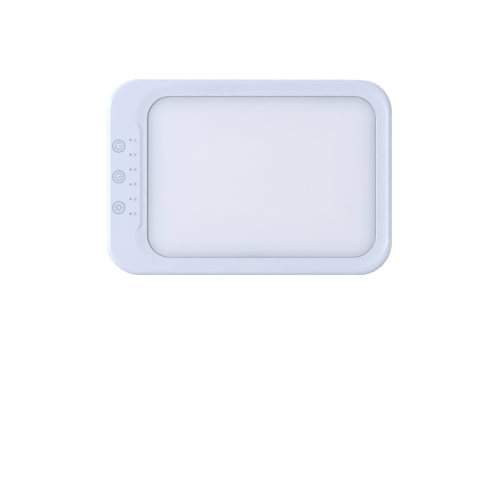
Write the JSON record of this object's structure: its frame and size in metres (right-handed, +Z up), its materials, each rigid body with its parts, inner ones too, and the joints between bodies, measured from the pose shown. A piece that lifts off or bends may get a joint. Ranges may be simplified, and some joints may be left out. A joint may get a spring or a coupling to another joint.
{
  "type": "light therapy panel lamp",
  "caption": "Slim rounded light panel with a large diffuser window, a touch control strip below it and a tapered stand that folds flat into a recess in its back.",
  "frame": {"origin": "middle of the bounding box, at floor level, with the lamp standing in portrait on its rear bottom edge and the tip of its open stand", "axes": "+Z up, -Y out of the lit face, which leans back about 17 degrees, +X to the right as seen from the front, along the hinge axis"},
  "size_m": [0.162, 0.0813, 0.2261],
  "materials": {
    "bezel_plastic": "fine satin, cool off-white",
    "back_plastic": "fine satin, cool pale grey",
    "arm_plastic": "fine satin, cool pale grey",
    "foam": "soft closed-cell foam",
    "opal": "opal, fine satin, lit from behind",
    "white_film": "smooth white film",
    "clear_acrylic": "clear, polished edges",
    "light_pipe": "clear, slightly frosted",
    "tray_sheet": "rolled sheet",
    "screw_steel": "zinc plated",
    "bracket_steel": "zinc plated sheet",
    "pin_steel": "ground",
    "washer_steel": "spring steel",
    "strip_board": "white solder mask",
    "diode": "yellow phosphor in a white case",
    "circuit_board": "green solder mask",
    "chip": "moulded black",
    "coil": "ferrite with enamelled wire",
    "capacitor_can": "drawn can",
    "contact_brass": "plated",
    "connector": "natural nylon",
    "white_wire": "soft insulation",
    "red_wire": "soft insulation",
    "socket_black": "moulded black",
    "socket_contact": "nickel plated",
    "bush_plastic": "acetal, natural"
  },
  "bodies": {
    "panel": {"rear_shell": "back_plastic", "front_bezel": "bezel_plastic", "diffuser_gasket": "foam", "diffuser": "opal", "diffuser_film": "white_film", "light_guide": "clear_acrylic", "reflector_sheet": "white_film", "light_tray": "tray_sheet", "tray_screws": "screw_steel", "led_strip_left": "strip_board", "led_strip_right": "strip_board", "leds_left": "diode", "leds_right": "diode", "control_board": "circuit_board", "board_screws": "screw_steel", "control_chip": "chip", "driver_coil": "coil", "filter_capacitor": "capacitor_can", "touch_springs": "contact_brass", "indicator_leds": "diode", "light_pipe": "light_pipe", "led_connector": "connector", "jack_connector": "connector", "led_wires": "white_wire", "jack_wires": "red_wire", "jack_body": "socket_black", "jack_pin": "socket_contact", "jack_bracket": "bracket_steel", "jack_bracket_screw": "screw_steel", "hinge_bushes": "bush_plastic", "hinge_washers": "washer_steel"},
    "stand": {"stand_arm": "arm_plastic", "hinge_pin": "pin_steel", "pin_clips": "pin_steel"}
  },
  "joints": [
    {"name": "stand_hinge", "type": "hinge", "parent": "panel", "child": "stand", "pos_m": [0, 0.01649, 0.13754], "axis": [1, 0, 0], "range_deg": [-24, 0]}
  ]
}
